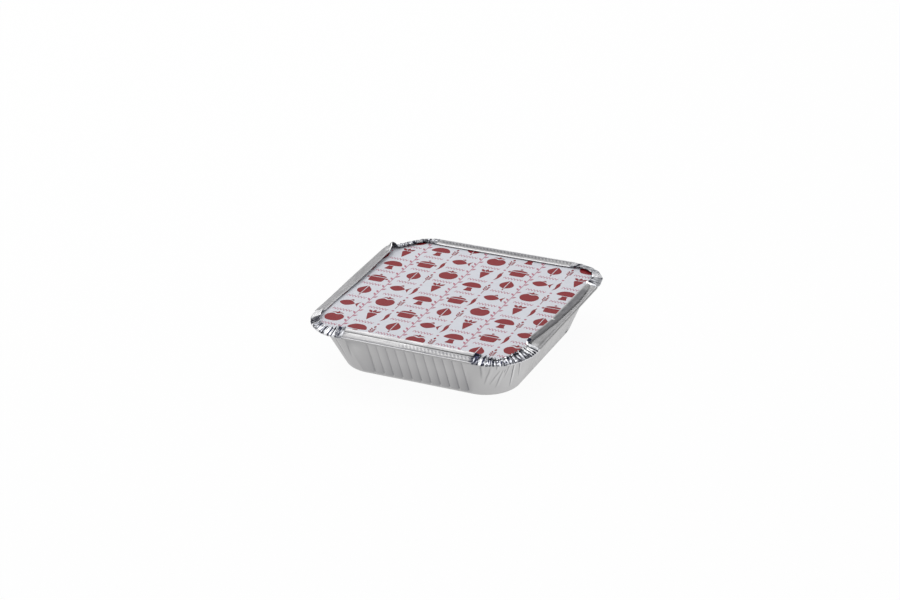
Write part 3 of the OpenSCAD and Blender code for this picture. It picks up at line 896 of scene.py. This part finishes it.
def makePrint(node, name, pale, material):
    # one ink: flat shapes on top of the lid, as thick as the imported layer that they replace
    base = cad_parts[node]
    heights = [(base.matrix_world @ Vector(corner)).z / mm for corner in base.bound_box]
    low, high = min(heights), max(heights)
    bm = bmesh.new()
    for loop in shapesFor(pale):
        verts, edges = loopOf(bm, len(loop))
        for vert, spot in zip(verts, loop):
            vert.co = (spot.x, spot.y, high)
        bmesh.ops.contextual_create(bm, geom=edges)
    trim(bm, sheet["rimHalf"] - pattern["lidInset"] - pattern["margin"], pattern["radius"])
    bmesh.ops.triangulate(bm, faces=bm.faces)
    bmesh.ops.recalc_face_normals(bm, faces=bm.faces)
    if sum(face.normal.z for face in bm.faces) < 0:
        bmesh.ops.reverse_faces(bm, faces=bm.faces)
    made = finishPiece(bm, name, material)
    thick = made.modifiers.new("ink", "SOLIDIFY")
    thick.thickness = (high - low) * mm
    thick.offset = -1
    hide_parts(node)


dress("board_lid", boardMaterial())
makePrint("lid_print", "lidPrint", False, inkMaterial("burgundyInk"))
makePrint("lid_rules", "lidRules", True, inkMaterial("paleInk"))
print("scene: lid dressed and printed")

# camera: fitted to the rim's and base's outlines in the photo; distance, right and up are in rim sides, the
# rim's side and height in metres, focal length and photo width in pixels, and the sensor in millimetres
camera = {"azimuth": 26.61, "elevation": 26.387, "roll": 2.133, "rimSide": 0.23, "distance": 9.2597,
          "right": 0.0316, "up": 0.0026, "focal": 2228.33, "width": 900, "rimHeight": 0.0476, "sensor": 36}


def makeCamera():
    azimuth, elevation, roll = (math.radians(camera[key]) for key in ("azimuth", "elevation", "roll"))
    away, toRight, toTop = (camera[key] * camera["rimSide"] for key in ("distance", "right", "up"))
    back = Vector((math.sin(azimuth) * math.cos(elevation), -math.cos(azimuth) * math.cos(elevation),
                   math.sin(elevation)))
    right = Vector((math.cos(azimuth), math.sin(azimuth), 0))
    up = back.cross(right)
    axisX = right * math.cos(roll) - up * math.sin(roll)
    axisY = right * math.sin(roll) + up * math.cos(roll)
    data = bpy.data.cameras.new("camera")
    data.sensor_width = camera["sensor"]
    data.lens = camera["sensor"] * camera["focal"] / camera["width"]
    data.clip_end = 50
    eye = bpy.data.objects.new("camera", data)
    eye.matrix_world = Matrix((axisX, axisY, back)).transposed().to_4x4()
    eye.location = Vector((0, 0, camera["rimHeight"])) + back * away - right * toRight - up * toTop
    bpy.context.scene.collection.objects.link(eye)
    bpy.context.scene.camera = eye


# dark panels hang in the studio, so that the foil's folds have something dark to mirror, each as
# [direction, reach, how dark]; the sky is a ramp by height, and blots are a noise's ends and what they become
studio = {"lampSize": 1.2, "lampPower": 9.0, "lampPlace": (-0.9, 0.7, 1.7), "lampAim": (0, 0, 0.04),
          "floor": 0.88, "floorGlow": 0.95, "floorHalf": 8,
          "sky": [[0.0, 0.62], [0.25, 0.72], [0.55, 0.8], [0.8, 1.05], [1.0, 1.15]],
          "panels": [[(-0.05, 0.80, 0.60), 0.34, 0.4], [(0.45, -0.85, 0.25), 0.62, 0.35],
                     [(0.95, 0.05, 0.30), 0.40, 0.8], [(-0.80, -0.35, 0.45), 0.42, 0.5],
                     [(0.35, 0.15, 0.92), 0.20, 0.75], [(-0.90, 0.35, 0.15), 0.30, 0.7]],
          "panelColour": (0.02, 0.025, 0.04, 1), "blotScale": 3.2, "blots": [0.42, 0.56, 0.15, 1.45]}


def floorMaterial():
    # the camera and mirrored rays see the floor nearly white, and it keeps the soft shadow
    material, shader, wire = newMaterial("floor", {"Roughness": 0.9})
    shader.inputs["Base Color"].default_value = (studio["floor"],) * 3 + (1,)
    cameraRay, glossyRay, glassRay = (wire.node("ShaderNodeLightPath", output=ray) for ray in (0, 3, 6))
    share = wire.maths("MINIMUM", cameraRay + glossyRay + glassRay, 1.0) * studio["floorGlow"]
    glow = wire.node("ShaderNodeEmission", {}, {"Color": (1, 1, 1, 1), "Strength": 1.0})
    plain = Wire(wire.tree, shader.outputs[0])
    both = wire.node("ShaderNodeMixShader", {}, {0: share, 1: plain, 2: glow})
    feed(material.node_tree.nodes["Material Output"], "Surface", both)
    return material


def makeFloor():
    mesh = bpy.data.meshes.new("floor")
    bm = bmesh.new()
    bmesh.ops.create_grid(bm, x_segments=1, y_segments=1, size=studio["floorHalf"])
    bm.to_mesh(mesh)
    bm.free()
    floor = bpy.data.objects.new("floor", mesh)
    bpy.context.scene.collection.objects.link(floor)
    mesh.materials.append(floorMaterial())


def makeLamp():
    data = bpy.data.lights.new("softbox", "AREA")
    data.size = studio["lampSize"]
    data.energy = studio["lampPower"]
    lamp = bpy.data.objects.new("softbox", data)
    lamp.location = studio["lampPlace"]
    lamp.rotation_euler = (Vector(studio["lampAim"]) - lamp.location).to_track_quat("-Z", "Y").to_euler()
    bpy.context.scene.collection.objects.link(lamp)


def makeWorld():
    world = bpy.data.worlds.new("studio")
    bpy.context.scene.world = world
    world.use_nodes = True
    wire = Wire(world.node_tree)
    way = wire.node("ShaderNodeTexCoord", output=0)
    height = wire.node("ShaderNodeSeparateXYZ", {}, {0: way}, 2)
    sky = wire.node("ShaderNodeValToRGB", {"stops": studio["sky"]}, {0: height})
    for centre, reach, depth in studio["panels"]:
        away = wire.node("ShaderNodeVectorMath", {"operation": "DISTANCE"}, {0: way, 1: centre}, 1)
        inside = wire.node("ShaderNodeMapRange", {"interpolation_type": "SMOOTHSTEP"},
                           {0: away, 1: reach * 0.7, 2: reach, 3: depth, 4: 0.0})
        sky = mixColour(wire, inside, sky, studio["panelColour"])
    # mirrored rays see a blotched sky: sharp folds pick out light and dark, satin foil blurs it all
    blots = wire.node("ShaderNodeTexNoise", {}, {"Vector": way, "Scale": studio["blotScale"], "Detail": 1.0})
    blots = wire.node("ShaderNodeMapRange", {}, {0: blots, **dict(enumerate(studio["blots"], 1))})
    mirrored = wire.node("ShaderNodeVectorMath", {"operation": "SCALE"}, {0: sky, 3: blots})
    cameraRay, glossyRay = (wire.node("ShaderNodeLightPath", output=ray) for ray in (0, 3))
    sky = mixColour(wire, glossyRay, sky, mirrored)
    feed(world.node_tree.nodes["Background"], "Color", mixColour(wire, cameraRay, sky, (1, 1, 1, 1)))


makeCamera()
makeFloor()
makeLamp()
makeWorld()
bpy.context.scene.view_settings.view_transform = "Standard"
print("scene: camera and studio made")
